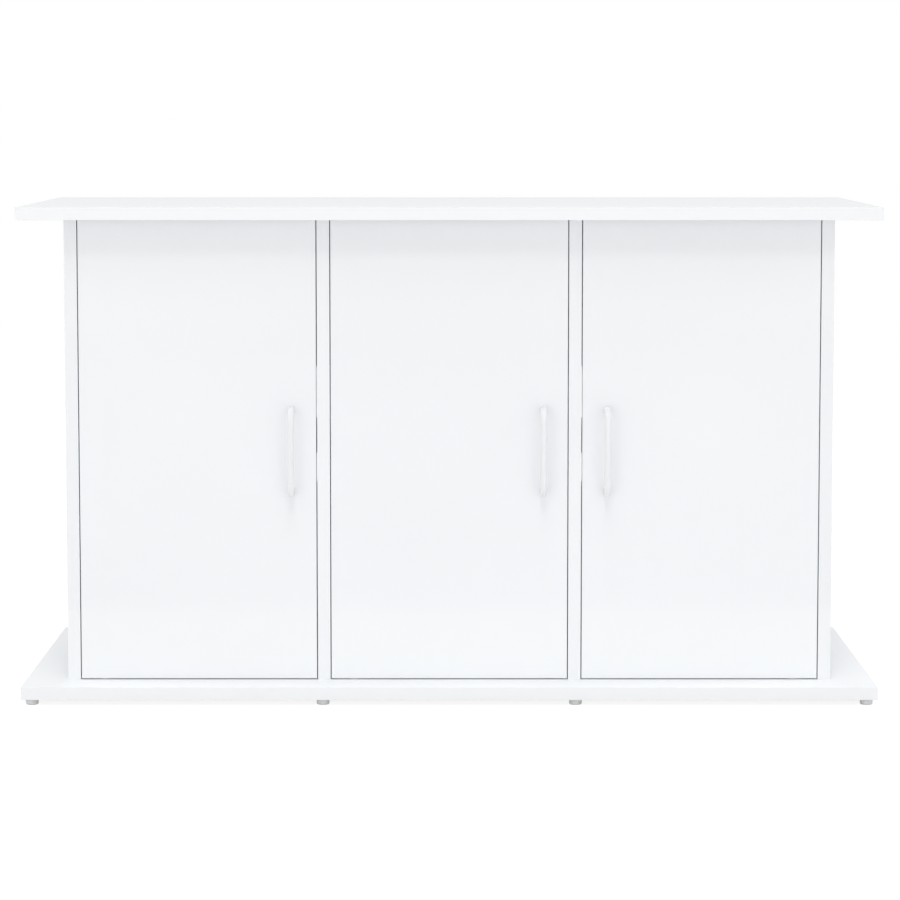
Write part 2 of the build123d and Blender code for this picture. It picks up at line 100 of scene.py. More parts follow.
# ------------------------------------------------------------------------------- node graphs
class Graph:
    """A node tree, with a short call for each kind of node that the finishes and the studio share."""

    def __init__(self, tree: bpy.types.NodeTree, output: str) -> None:
        """Empties the tree and gives it its output.

        Args:
            tree: a material's or a world's tree.
            output: the output node's type name.
        """
        self.tree = tree
        tree.nodes.clear()
        self.output = self.node(output).inputs["Surface"]

    def node(self, kind: str, **settings: object) -> bpy.types.Node:
        """Adds a node and sets its properties.

        Args:
            kind: the node's type name.
            **settings: property names and values.

        Returns:
            The new node.
        """
        made = self.tree.nodes.new(kind)
        for key, value in settings.items():
            setattr(made, key, value)
        return made

    def link(self, source: bpy.types.NodeSocket, target: bpy.types.NodeSocket) -> None:
        """Joins an output socket to an input socket."""
        self.tree.links.new(source, target)

    def feed(self, target: bpy.types.NodeSocket, value: object) -> None:
        """Gives an input a link when the value is a socket, and its own number otherwise.

        Args:
            target: the input.
            value: a number, a colour or a socket.
        """
        if isinstance(value, bpy.types.NodeSocket):
            self.link(value, target)
        else:
            target.default_value = value

    def calc(self, operation: str, *values: object) -> bpy.types.NodeSocket:
        """One Math node.

        Args:
            operation: its operation, such as "MINIMUM".
            *values: its inputs, each a number or a socket.

        Returns:
            The result's socket.
        """
        made = self.node("ShaderNodeMath", operation=operation)
        for target, value in zip(made.inputs, values):
            self.feed(target, value)
        return made.outputs["Value"]

    def place(self) -> bpy.types.NodeSocket:
        """The point's place in the frame at rest, as a vector."""
        return self.node("ShaderNodeTexCoord").outputs["Object"]

    def axes(self) -> bpy.types.NodeOutputs:
        """The same place, split.

        Returns:
            Three sockets: X, Y and Z.
        """
        parts = self.node("ShaderNodeSeparateXYZ")
        self.link(self.place(), parts.inputs["Vector"])
        return parts.outputs

    def noise(self, size: float, detail: float = 2.0, stretch: Point = (1, 1, 1)) -> bpy.types.NodeSocket:
        """Smooth noise over the piece.

        Args:
            size: the distance between its bumps, in metres.
            detail: how many finer octaves it has.
            stretch: how much closer the bumps lie along each axis.

        Returns:
            The noise's value, about 0.5 in the mean.
        """
        mapping = self.node("ShaderNodeMapping")
        mapping.inputs["Scale"].default_value = stretch
        self.link(self.place(), mapping.inputs["Vector"])
        made = self.node("ShaderNodeTexNoise")
        made.inputs["Scale"].default_value = 1.0 / size
        made.inputs["Detail"].default_value = detail
        self.link(mapping.outputs["Vector"], made.inputs["Vector"])
        return made.outputs["Fac"]

    def span(
        self, value: bpy.types.NodeSocket, low: float, high: float, start: float, end: float
    ) -> bpy.types.NodeSocket:
        """Maps low..high to start..end with soft ends.

        Args:
            value: what is mapped.
            low: the value that gives start.
            high: the value that gives end.
            start: the result at low.
            end: the result at high.

        Returns:
            The mapped value's socket.
        """
        made = self.node("ShaderNodeMapRange", interpolation_type="SMOOTHSTEP")
        for key, number in (("From Min", low), ("From Max", high), ("To Min", start), ("To Max", end)):
            made.inputs[key].default_value = number
        self.link(value, made.inputs["Value"])
        return made.outputs["Result"]

    def sharpen(self, noise: bpy.types.NodeSocket, spread: float = 0.2) -> bpy.types.NodeSocket:
        """Noise stretched over the whole range from 0 to 1.

        Args:
            noise: the noise's value.
            spread: how far from its mean it reaches 0 and 1.

        Returns:
            The stretched noise's socket.
        """
        return self.span(noise, NOISE_MEAN - spread, NOISE_MEAN + spread, 0.0, 1.0)

    def blend(self, share: bpy.types.NodeSocket, first: object, second: object) -> bpy.types.NodeSocket:
        """A colour between two.

        Args:
            share: 0 for the first and 1 for the second.
            first: a colour or a socket.
            second: a colour or a socket.

        Returns:
            The blended colour's socket.
        """
        made = self.node("ShaderNodeMix", data_type="RGBA")
        self.link(share, made.inputs["Factor"])
        for key, value in (("A", first), ("B", second)):
            target = next(s for s in made.inputs if s.name == key and s.type == "RGBA")
            self.feed(target, value if isinstance(value, bpy.types.NodeSocket) else (*value, 1.0))
        return next(s for s in made.outputs if s.type == "RGBA")


class Surface(Graph):
    """A material with one Principled shader."""

    def __init__(self, name: str) -> None:
        """Makes the material.

        Args:
            name: the material's name.
        """
        self.material = bpy.data.materials.new(name)
        self.material.use_nodes = True
        super().__init__(self.material.node_tree, "ShaderNodeOutputMaterial")
        self.shader = self.node("ShaderNodeBsdfPrincipled")
        self.link(self.shader.outputs["BSDF"], self.output)

    def bump(self, height: bpy.types.NodeSocket, depth: float, coat: bool = False) -> None:
        """Relief on the surface.

        Args:
            height: the relief, from 0 to 1.
            depth: how deep that is, in metres.
            coat: whether the clear coat has the relief too.
        """
        made = self.node("ShaderNodeBump")
        made.inputs["Strength"].default_value = 1.0
        made.inputs["Distance"].default_value = depth
        self.link(height, made.inputs["Height"])
        self.link(made.outputs["Normal"], self.shader.inputs["Normal"])
        if coat:
            self.link(made.outputs["Normal"], self.shader.inputs["Coat Normal"])

    def set(self, **values: object) -> None:
        """Sets the shader's own inputs: an underscore in a name stands for a space."""
        for key, value in values.items():
            self.shader.inputs[key.replace("_", " ")].default_value = value


def shade(colour: Colour, share: float) -> Colour:
    """The colour made darker or lighter.

    Args:
        colour: the colour.
        share: what its parts are multiplied by.

    Returns:
        The new colour.
    """
    red, green, blue = (part * share for part in colour)
    return red, green, blue


# ------------------------------------------------------------------------------- finishes
@dataclass(frozen=True)
class Finish:
    """A finish that looks the same on every piece that has it.

    Attributes:
        name: its material's name.
        colour: its plain colour.
        roughness: how dull it is, from 0 to 1.
        dark: its darkest tone, as a share of the plain colour.
        light: its lightest tone, as a share of the plain colour.
    """

    name: str
    colour: Colour
    roughness: float
    dark: float = 0.9
    light: float = 1.0

    def tint(self, graph: Surface, share: bpy.types.NodeSocket) -> None:
        """Gives the surface its two tones.

        Args:
            graph: the finish's graph.
            share: 0 for the dark tone and 1 for the light one.
        """
        colour = graph.blend(share, shade(self.colour, self.dark), shade(self.colour, self.light))
        graph.link(colour, graph.shader.inputs["Base Color"])

    def paint(self, graph: Surface) -> None:
        """Adds this finish's own nodes to its graph."""
        raise NotImplementedError

    def material(self) -> bpy.types.Material:
        """Makes the finish's material once.

        Returns:
            The material, which every piece with this finish shares.
        """
        known = bpy.data.materials.get(self.name)
        if known is not None:
            return known
        graph = Surface(self.name)
        graph.set(Base_Color=(*self.colour, 1.0), Roughness=self.roughness)
        self.paint(graph)
        return graph.material


@dataclass(frozen=True)
class BoardFinish:
    """A coated chipboard: its faces, and the band round its edges with a fine glue line.

    Attributes:
        name: what its materials' names start with.
        colour: the faces' colour.
        roughness: how dull the foil is, from 0 to 1.
        specular: how strongly the foil mirrors, with 0.5 for plain lacquer.
        coat: how much clear coat lies over the foil, from 0 to 1.
        coat_roughness: how dull the coat is, from 0 to 1.
        relief_size: the distance between the surface's faint waves.
        relief_depth: how deep the waves are.
        band: how thick the edge band is.
        band_shade: the band's tone, as a share of the colour.
        seam: half the width of the glue line.
        seam_shade: the glue line's tone, as a share of the colour.
        seam_sink: how deep the glue line lies, in depths of the waves.
        gloss_edge: how far from a face without the coat it is full again.
        cloud_size: the size of the faces' faint clouds.
        mottle: how much the clouds change the tone.
    """

    name: str
    colour: Colour
    roughness: float
    specular: float
    coat: float
    coat_roughness: float
    relief_size: float
    relief_depth: float
    band: float = 1.0 * MM
    band_shade: float = 0.985
    seam: float = 0.12 * MM
    seam_shade: float = 0.8
    seam_sink: float = 1.5
    gloss_edge: float = 0.36 * MM
    cloud_size: float = 0.35
    mottle: float = 0.006

    def material(self, node: str, flat: Flat, shown: int = 0) -> bpy.types.Material:
        """The finish on one board.

        Args:
            node: the board's CAD node.
            flat: the axis that the board is thin along.
            shown: the side that has the gloss along that axis, +1 or -1, or 0 for both.

        Returns:
            A material of the board's own, because its glue line follows the board's outline.
        """
        graph = Surface(f"{self.name}_{node}")
        graph.set(Roughness=self.roughness, Specular_IOR_Level=self.specular)
        graph.set(Coat_Weight=self.coat, Coat_Roughness=self.coat_roughness)
        if shown:
            self.keep_gloss_outside(graph, node, flat, shown)
        edge = self.edge_distance(graph, node, flat)
        in_band = graph.span(edge, self.band - self.seam, self.band, 1.0, 0.0)
        off_seam = graph.calc("ABSOLUTE", graph.calc("SUBTRACT", edge, self.band))
        seam = graph.span(off_seam, 0.0, self.seam, 1.0, 0.0)
        cloud = graph.sharpen(graph.noise(self.cloud_size, 3.0))
        face = graph.blend(cloud, shade(self.colour, 1 - self.mottle), shade(self.colour, 1 + self.mottle))
        banded = graph.blend(in_band, face, shade(self.colour, self.band_shade))
        colour = graph.blend(seam, banded, shade(self.colour, self.seam_shade))
        graph.link(colour, graph.shader.inputs["Base Color"])
        waves = graph.noise(self.relief_size, 1.0)
        height = graph.calc("SUBTRACT", waves, graph.calc("MULTIPLY", seam, self.seam_sink))
        graph.bump(height, self.relief_depth, coat=True)
        return graph.material

    def keep_gloss_outside(self, graph: Surface, node: str, flat: Flat, shown: int) -> None:
        """Leaves the clear coat off the board's inner face.

        Args:
            graph: the board's graph.
            node: the board's CAD node.
            flat: the axis that the board is thin along.
            shown: the side that keeps the coat, +1 or -1.
        """
        low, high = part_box(node)
        inner = (low if shown > 0 else high)[flat.value]
        offset = graph.calc("SUBTRACT", graph.axes()[flat.value], inner)
        away = graph.calc("MULTIPLY", offset, float(shown))
        gloss = graph.span(away, self.seam, self.gloss_edge, 0.0, self.coat)
        graph.link(gloss, graph.shader.inputs["Coat Weight"])

    def edge_distance(self, graph: Surface, node: str, flat: Flat) -> bpy.types.NodeSocket:
        """How far a point of the board is from its nearest banded edge.

        Args:
            graph: the board's graph.
            node: the board's CAD node.
            flat: the axis that the board is thin along.

        Returns:
            The distance's socket, in metres.
        """
        low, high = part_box(node)
        axes = graph.axes()
        sides = []
        for axis in (0, 1, 2):
            if axis != flat.value:
                sides.append(graph.calc("SUBTRACT", axes[axis], low[axis]))
                sides.append(graph.calc("SUBTRACT", high[axis], axes[axis]))
        first = graph.calc("MINIMUM", sides[0], sides[1])
        second = graph.calc("MINIMUM", sides[2], sides[3])
        return graph.calc("MINIMUM", first, second)


@dataclass(frozen=True)
class PowderCoat(Finish):
    """Baked paint with a fine orange peel, as on the handles.

    Attributes:
        coat: how much gloss lies over the paint, from 0 to 1.
        coat_roughness: how dull the gloss is, from 0 to 1.
        cloud: the size of its patches of tone.
        peel: the distance between the peel's bumps.
        depth: how deep the peel is.
    """

    dark: float = 0.99
    coat: float = 0.6
    coat_roughness: float = 0.12
    cloud: float = 12.0 * MM
    peel: float = 1.1 * MM
    depth: float = 0.015 * MM

    def paint(self, graph: Surface) -> None:
        """A soft gloss over a shallow relief.

        Args:
            graph: the finish's graph.
        """
        graph.set(Coat_Weight=self.coat, Coat_Roughness=self.coat_roughness)
        self.tint(graph, graph.sharpen(graph.noise(self.cloud, 2.0)))
        graph.bump(graph.noise(self.peel, 1.0), self.depth, coat=True)


@dataclass(frozen=True)
class MouldedPlastic(Finish):
    """An injection moulding with a fine spark-eroded texture.

    Attributes:
        grain: the size of the spark marks.
        depth: how deep they are.
        glow: how much light passes under its skin, from 0 to 1.
        scatter: how far that light goes.
    """

    dark: float = 0.94
    light: float = 1.04
    grain: float = 0.35 * MM
    depth: float = 0.03 * MM
    glow: float = 0.0
    scatter: float = 1.5 * MM

    def paint(self, graph: Surface) -> None:
        """Speckled colour and a grained surface.

        Args:
            graph: the finish's graph.
        """
        graph.set(Subsurface_Weight=self.glow, Subsurface_Scale=self.scatter)
        fleck = graph.sharpen(graph.noise(self.grain, 3.0), 0.15)
        self.tint(graph, fleck)
        graph.bump(fleck, self.depth)


@dataclass(frozen=True)
class PlatedSteel(Finish):
    """Zinc-plated steel: bright, slightly mottled and faintly blue.

    Attributes:
        patch: the size of its patches.
        smoothest: the least roughness, as a share of the plain one.
        roughest: the most roughness, as a share of the plain one.
        lines: the distance between its fine lines.
        line_stretch: how much closer they lie along each axis.
        depth: how deep they are.
    """

    dark: float = 0.88
    patch: float = 2.5 * MM
    smoothest: float = 0.8
    roughest: float = 1.3
    lines: float = 0.25 * MM
    line_stretch: Point = (1, 1, 6)
    depth: float = 0.008 * MM

    def paint(self, graph: Surface) -> None:
        """Metal whose tone and roughness vary in small patches.

        Args:
            graph: the finish's graph.
        """
        graph.set(Metallic=1.0)
        patch = graph.sharpen(graph.noise(self.patch, 4.0))
        self.tint(graph, patch)
        ends = (self.roughness * self.smoothest, self.roughness * self.roughest)
        graph.link(graph.span(patch, 0.0, 1.0, *ends), graph.shader.inputs["Roughness"])
        graph.bump(graph.noise(self.lines, 2.0, self.line_stretch), self.depth)


@dataclass(frozen=True)
class DieCast(Finish):
    """Tumbled zinc die-casting: grey, dull and slightly grainy.

    Attributes:
        metal: how metallic it is, from 0 to 1.
        grain: the size of its grain.
        depth: how deep the grain is.
    """

    dark: float = 0.85
    metal: float = 0.9
    grain: float = 0.6 * MM
    depth: float = 0.03 * MM

    def paint(self, graph: Surface) -> None:
        """Metal with a coarse, shallow grain.

        Args:
            graph: the finish's graph.
        """
        graph.set(Metallic=self.metal)
        grain = graph.noise(self.grain, 4.0)
        self.tint(graph, graph.sharpen(grain, 0.15))
        graph.bump(grain, self.depth)


@dataclass(frozen=True)
class Ferrite(Finish):
    """Ground ferrite: almost black, with fine grinding lines along X.

    Attributes:
        lines: the distance between the lines.
        line_stretch: how much closer they lie along each axis.
        depth: how deep they are.
    """

    dark: float = 0.7
    light: float = 1.3
    lines: float = 0.3 * MM
    line_stretch: Point = (0.05, 1, 1)
    depth: float = 0.02 * MM

    def paint(self, graph: Surface) -> None:
        """Dark ceramic with lines along its length.

        Args:
            graph: the finish's graph.
        """
        lines = graph.noise(self.lines, 3.0, self.line_stretch)
        self.tint(graph, lines)
        graph.bump(lines, self.depth)


@dataclass(frozen=True)
class Beech(Finish):
    """Plain beech, turned: fine dark flecks along the upright grain.

    Attributes:
        grain: the distance between the flecks.
        grain_stretch: how much closer they lie along each axis.
        depth: how deep they are.
    """

    dark: float = 0.72
    light: float = 1.1
    grain: float = 1.2 * MM
    grain_stretch: Point = (1, 1, 0.08)
    depth: float = 0.05 * MM

    def paint(self, graph: Surface) -> None:
        """Long grain with short rays.

        Args:
            graph: the finish's graph.
        """
        grain = graph.noise(self.grain, 4.0, self.grain_stretch)
        self.tint(graph, grain)
        graph.bump(grain, self.depth)


FOIL_WHITE = (0.900, 0.915, 0.930)
GLOSS_FOIL = BoardFinish(
    "gloss_foil",
    FOIL_WHITE,
    roughness=0.40,
    specular=0.1,
    coat=1.0,
    coat_roughness=0.05,
    relief_size=5.0 * MM,
    relief_depth=0.006 * MM,
)
PLATE_FOIL = BoardFinish(
    "plate_foil",
    FOIL_WHITE,
    roughness=0.38,
    specular=0.25,
    coat=0.35,
    coat_roughness=0.22,
    relief_size=5.0 * MM,
    relief_depth=0.006 * MM,
)
SATIN_FOIL = BoardFinish(
    "satin_foil",
    FOIL_WHITE,
    roughness=0.50,
    specular=0.15,
    coat=0.0,
    coat_roughness=0.3,
    relief_size=3.0 * MM,
    relief_depth=0.01 * MM,
)
SATIN_MELAMINE = BoardFinish(
    "satin_melamine",
    (0.880, 0.885, 0.890),
    roughness=0.50,
    specular=0.25,
    coat=0.0,
    coat_roughness=0.3,
    relief_size=0.9 * MM,
    relief_depth=0.02 * MM,
)
WHITE_COAT = PowderCoat("white_coat", (0.855, 0.868, 0.880), roughness=0.34)
GREY_MOULDING = MouldedPlastic("grey_moulding", (0.76, 0.765, 0.77), roughness=0.5)
NYLON = MouldedPlastic("nylon", (0.80, 0.80, 0.76), roughness=0.38, depth=0.012 * MM, glow=0.15)
ZINC_PLATE = PlatedSteel("zinc_plate", (0.70, 0.73, 0.76), roughness=0.26)
ZINC_CASTING = DieCast("zinc_casting", (0.52, 0.53, 0.54), roughness=0.45)
FERRITE = Ferrite("ferrite", (0.035, 0.035, 0.038), roughness=0.45)
BEECH = Beech("beech", (0.62, 0.42, 0.24), roughness=0.6)


# ------------------------------------------------------------------------------- meshes
def shut_ring(mesh: bmesh.types.BMesh, ring: list[bmesh.types.BMVert], flip: bool) -> None:
    """Closes a tube's end with one face.

    Args:
        mesh: the mesh.
        ring: the end's vertices.
        flip: whether the face looks against the ring's turn.
    """
    mesh.faces.new(list(reversed(ring)) if flip else ring)


def rings_to_object(name: str, rings: list[list[Vector]], smooth_angle: float = 35.0) -> bpy.types.Object:
    """A closed tube through rings of points.

    Args:
        name: the object's name.
        rings: rings of equally many points, each turning the same way.
        smooth_angle: edges that turn by less than this, in degrees, are shaded smooth.

    Returns:
        The object, linked to the scene.
    """
    mesh = bmesh.new()
    loops = [[mesh.verts.new(point) for point in ring] for ring in rings]
    count = len(loops[0])
    for near, far in zip(loops, loops[1:]):
        for i in range(count):
            j = (i + 1) % count
            mesh.faces.new((near[i], near[j], far[j], far[i]))
    shut_ring(mesh, loops[0], True)
    shut_ring(mesh, loops[-1], False)
    bmesh.ops.recalc_face_normals(mesh, faces=mesh.faces)
    limit = math.radians(smooth_angle)
    for face in mesh.faces:
        face.smooth = True
    for edge in mesh.edges:
        edge.smooth = len(edge.link_faces) == 2 and edge.calc_face_angle(0.0) < limit
    data = bpy.data.meshes.new(name)
    mesh.to_mesh(data)
    mesh.free()
    made = bpy.data.objects.new(name, data)
    bpy.context.scene.collection.objects.link(made)
    return made


def oval(across: float, deep: float, power: float, count: int) -> list[tuple[float, float]]:
    """A rounded-rectangle section between an ellipse and a box.

    Args:
        across: its full width.
        deep: its full thickness.
        power: 2 for an ellipse, and more for a squarer one.
        count: how many points.

    Returns:
        The section's points, anticlockwise.
    """
    points = []
    for i in range(count):
        turn = FULL_TURN * i / count
        c, s = math.cos(turn), math.sin(turn)
        x = math.copysign(abs(c) ** (2 / power), c) * across / 2
        y = math.copysign(abs(s) ** (2 / power), s) * deep / 2
        points.append((x, y))
    return points


def lathe(name: str, axis: Vector, profile: list[tuple[float, float]], count: int = 64) -> bpy.types.Object:
    """A turned piece about a vertical axis.

    Args:
        name: the object's name.
        axis: a point on the axis, from which the profile's heights are measured.
        profile: radius and height of each ring, from the bottom up.
        count: how many points a ring has.

    Returns:
        The object, linked to the scene.
    """
    rings = []
    for radius, height in profile:
        turns = [FULL_TURN * i / count for i in range(count)]
        rings.append([axis + Vector((radius * math.cos(t), radius * math.sin(t), height)) for t in turns])
    return rings_to_object(name, rings)


def dress(node: str, material: bpy.types.Material) -> None:
    """Gives a CAD node its material.

    Args:
        node: the node's name.
        material: what each of its slots gets.
    """
    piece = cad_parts[node]
    if not piece.material_slots:
        piece.data.materials.append(material)
    for slot in piece.material_slots:
        slot.material = material
    LOG.info("dressed %s in %s", node, material.name)


# ------------------------------------------------------------------------------- sub-assemblies
@dataclass
class Carcass:
    """The two plates, the four uprights and the two back rails.

    Attributes:
        gloss: the side panels' finish.
        satin: the rails' finish.
        plates: the top and the base panel, each with its finish.
        divider: the partitions' finish.
        sides: the side panels, each with the side along X that is glossy.
        partitions: the partitions' nodes.
        rails: the rails' nodes.
    """

    gloss: BoardFinish = GLOSS_FOIL
    satin: BoardFinish = SATIN_MELAMINE
    plates: tuple[tuple[str, BoardFinish], ...] = (("top_panel", PLATE_FOIL), ("base_panel", SATIN_FOIL))
    divider: BoardFinish = SATIN_FOIL
    sides: tuple[tuple[str, int], ...] = (("side_panel_left", -1), ("side_panel_right", 1))
    partitions: tuple[str, ...] = ("partition_left", "partition_right")
    rails: tuple[str, ...] = ("back_rail_lower", "back_rail_upper")

    def dress(self) -> None:
        """Foils the outer boards and coats what is inside."""
        for node, foil in self.plates:
            dress(node, foil.material(node, Flat.Z))
        for node, outward in self.sides:
            dress(node, self.gloss.material(node, Flat.X, outward))
        for node in self.partitions:
            dress(node, self.divider.material(node, Flat.X))
        for node in self.rails:
            dress(node, self.satin.material(node, Flat.Y))


@dataclass
class Fittings:
    """The hidden joints of the boards.

    Attributes:
        finishes: the finish of each node of fasteners.
    """

    finishes: dict[str, Finish] = field(
        default_factory=lambda: {
            "dowels": BEECH,
            "cam_bolts": ZINC_PLATE,
            "cam_locks": ZINC_CASTING,
            "rail_screws": ZINC_PLATE,
        }
    )

    def dress(self) -> None:
        """Gives each group of fasteners its metal or wood."""
        for node, finish in self.finishes.items():
            dress(node, finish.material())


@dataclass
class Feet:
    """Eight grey glides under the base panel.

    Attributes:
        finish: the glides' finish.
        rows: the names of the two rows.
        columns: how many glides stand in a row.
        sole_share: the radius of the sole's inner ring, as a share of the glide's.
        roll: the radius of the sole's rolled edge.
        roll_steps: how many facets the rolled edge has.
        groove: how deep the groove under the rim is.
        groove_height: how high the groove is.
        groove_floor: where its floor starts and ends, as shares of its height below the rim.
        rim: how high the rim is.
        chamfer: the bevel at the rim's top.
    """

    finish: Finish = GREY_MOULDING
    rows: tuple[str, ...] = ("front", "back")
    columns: int = 4
    sole_share: float = 0.35
    roll: float = 1.6 * MM
    roll_steps: int = 6
    groove: float = 0.35 * MM
    groove_height: float = 0.8 * MM
    groove_floor: tuple[float, float] = (0.7, 0.3)
    rim: float = 0.9 * MM
    chamfer: float = 0.2 * MM

    def build(self) -> None:
        """Turns a glide in place of each plain foot."""
        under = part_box("base_panel")[0].z
        for row in self.rows:
            for number in range(1, self.columns + 1):
                self.glide(f"foot_{row}_{number}", under)

    def glide(self, node: str, top: float) -> None:
        """One glide, with a rolled sole and a groove under its rim.

        Args:
            node: the CAD foot that it stands for.
            top: the height of the base panel's underside.
        """
        low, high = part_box(node)
        radius = (high.x - low.x) / 2
        axis = Vector(((low.x + high.x) / 2, (low.y + high.y) / 2, low.z))
        profile = [(radius * self.sole_share, 0.0), (radius - self.roll, 0.0)]
        for i in range(1, self.roll_steps + 1):
            turn = QUARTER_TURN * i / self.roll_steps
            out = radius - self.roll + self.roll * math.sin(turn)
            profile.append((out, self.roll * (1 - math.cos(turn))))
        rim_high = top - low.z
        rim_low = rim_high - self.rim
        profile.append((radius, rim_low - self.groove_height))
        for share in self.groove_floor:
            profile.append((radius - self.groove, rim_low - self.groove_height * share))
        profile += [(radius, rim_low), (radius, rim_high - self.chamfer), (radius - self.chamfer, rim_high)]
        made = lathe(f"glide_{node.removeprefix('foot_')}", axis, profile)
        made.data.materials.append(self.finish.material())
        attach(made, "cabinet")
        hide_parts(node)
        LOG.info("built %s", made.name)


@dataclass
class Shelf:
    """One bay's shelf and its four supports.

    Attributes:
        bay: the bay that it is in.
        board: the shelf's finish.
        support: the supports' finish.
    """

    bay: Bay
    board: BoardFinish = SATIN_MELAMINE
    support: Finish = NYLON

    def dress(self) -> None:
        """Coats the shelf and its supports."""
        node = f"shelf_{self.bay.value}"
        dress(node, self.board.material(node, Flat.Z))
        dress(f"shelf_supports_{self.bay.value}", self.support.material())


@dataclass
class Handle:
    """A bar handle: a straight grip between two bent legs.

    Attributes:
        bay: the bay whose door it is on.
        finish: its paint.
        thickness: how thick the bar is, seen from the side.
        bend: the radius of its bends, at the middle of the bar.
        squareness: its section's power: 2 for an ellipse, and more for a squarer one.
        points: how many points its section has.
        bend_steps: how many facets a bend has.
        relief: the bevel at the foot of each leg.
    """

    bay: Bay
    finish: Finish = WHITE_COAT
    thickness: float = 11.0 * MM
    bend: float = 11.0 * MM
    squareness: float = 2.3
    points: int = 40
    bend_steps: int = 14
    relief: float = 0.35 * MM

    def path(self, low: Vector, high: Vector) -> list[tuple[float, float, float]]:
        """The bar's middle line in the YZ plane.

        Args:
            low: the handle's lowest corner.
            high: its highest corner.

        Returns:
            Y, Z and the line's direction in radians (0 is outward, a quarter turn is up) at each ring.
        """
        out = low.y + self.thickness / 2
        lower, upper = low.z + self.thickness / 2, high.z - self.thickness / 2
        line = [(high.y, lower, 0.0), (high.y - self.relief, lower, 0.0)]
        for i in range(self.bend_steps + 1):
            turn = QUARTER_TURN * i / self.bend_steps
            y = out + self.bend * (1 - math.sin(turn))
            line.append((y, lower + self.bend * (1 - math.cos(turn)), turn))
        mirrored = [(y, lower + upper - z, math.pi - turn) for y, z, turn in reversed(line)]
        return line + mirrored

    def build(self) -> None:
        """Sweeps the handle and puts it on its door."""
        node = f"handle_{self.bay.value}"
        low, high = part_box(node)
        middle = (low.x + high.x) / 2
        rings = []
        line = self.path(low, high)
        for index, (y, z, turn) in enumerate(line):
            trim = 2 * self.relief if index in (0, len(line) - 1) else 0.0
            section = oval(high.x - low.x - trim, self.thickness - trim, self.squareness, self.points)
            side = Vector((0.0, math.sin(turn), math.cos(turn)))
            centre = Vector((middle, y, z))
            rings.append([centre + Vector((a, 0.0, 0.0)) + side * b for a, b in section])
        made = rings_to_object(f"bar_{node}", rings)
        made.data.materials.append(self.finish.material())
        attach(made, f"door_{self.bay.value}")
        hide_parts(node)
        LOG.info("built %s", made.name)


@dataclass
class Door:
    """One door with its handle, pivots and strike plate, and the catch and bushes that it meets.

    Attributes:
        bay: the bay that it shuts.
        foil: the board's finish.
    """

    bay: Bay
    foil: BoardFinish = GLOSS_FOIL

    def dress(self) -> None:
        """Coats the door and its hardware, and builds the handle."""
        name = self.bay.value
        node = f"door_{name}"
        dress(node, self.foil.material(node, Flat.Y, -1))
        for prefix in ("handle_screws", "pivot_pins", "strike_plate", "strike_screw", "catch_screws"):
            dress(f"{prefix}_{name}", ZINC_PLATE.material())
        for prefix in ("pivot_bushes", "catch_body"):
            dress(f"{prefix}_{name}", NYLON.material())
        dress(f"catch_magnet_{name}", FERRITE.material())
        Handle(self.bay).build()


# ------------------------------------------------------------------------------- studio
@dataclass(frozen=True)
class SoftBox:
    """A soft lamp that faces the stand's middle.

    Attributes:
        name: its name.
        azimuth: the side that it hangs on, with 0 in front and 90 at the right, in degrees.
        elevation: how high it hangs, in degrees.
        distance: how far it is from the stand's middle.
        size: the length of its side.
        watts: its power.
    """

    name: str
    azimuth: float
    elevation: float
    distance: float
    size: float
    watts: float

    def build(self, target: Vector) -> None:
        """Hangs the lamp.

        Args:
            target: the point that it faces.
        """
        side, height = math.radians(self.azimuth), math.radians(self.elevation)
        away = Vector(
            (math.sin(side) * math.cos(height), -math.cos(side) * math.cos(height), math.sin(height))
        )
        data = bpy.data.lights.new(self.name, "AREA")
        data.shape = "SQUARE"
        data.size = self.size
        data.energy = self.watts
        lamp = bpy.data.objects.new(self.name, data)
        bpy.context.scene.collection.objects.link(lamp)
        lamp.location = target + away * self.distance
        lamp.rotation_euler = away.to_track_quat("Z", "Y").to_euler()
        lamp.visible_camera = False
        lamp.visible_glossy = False
        LOG.info("hung %s", self.name)


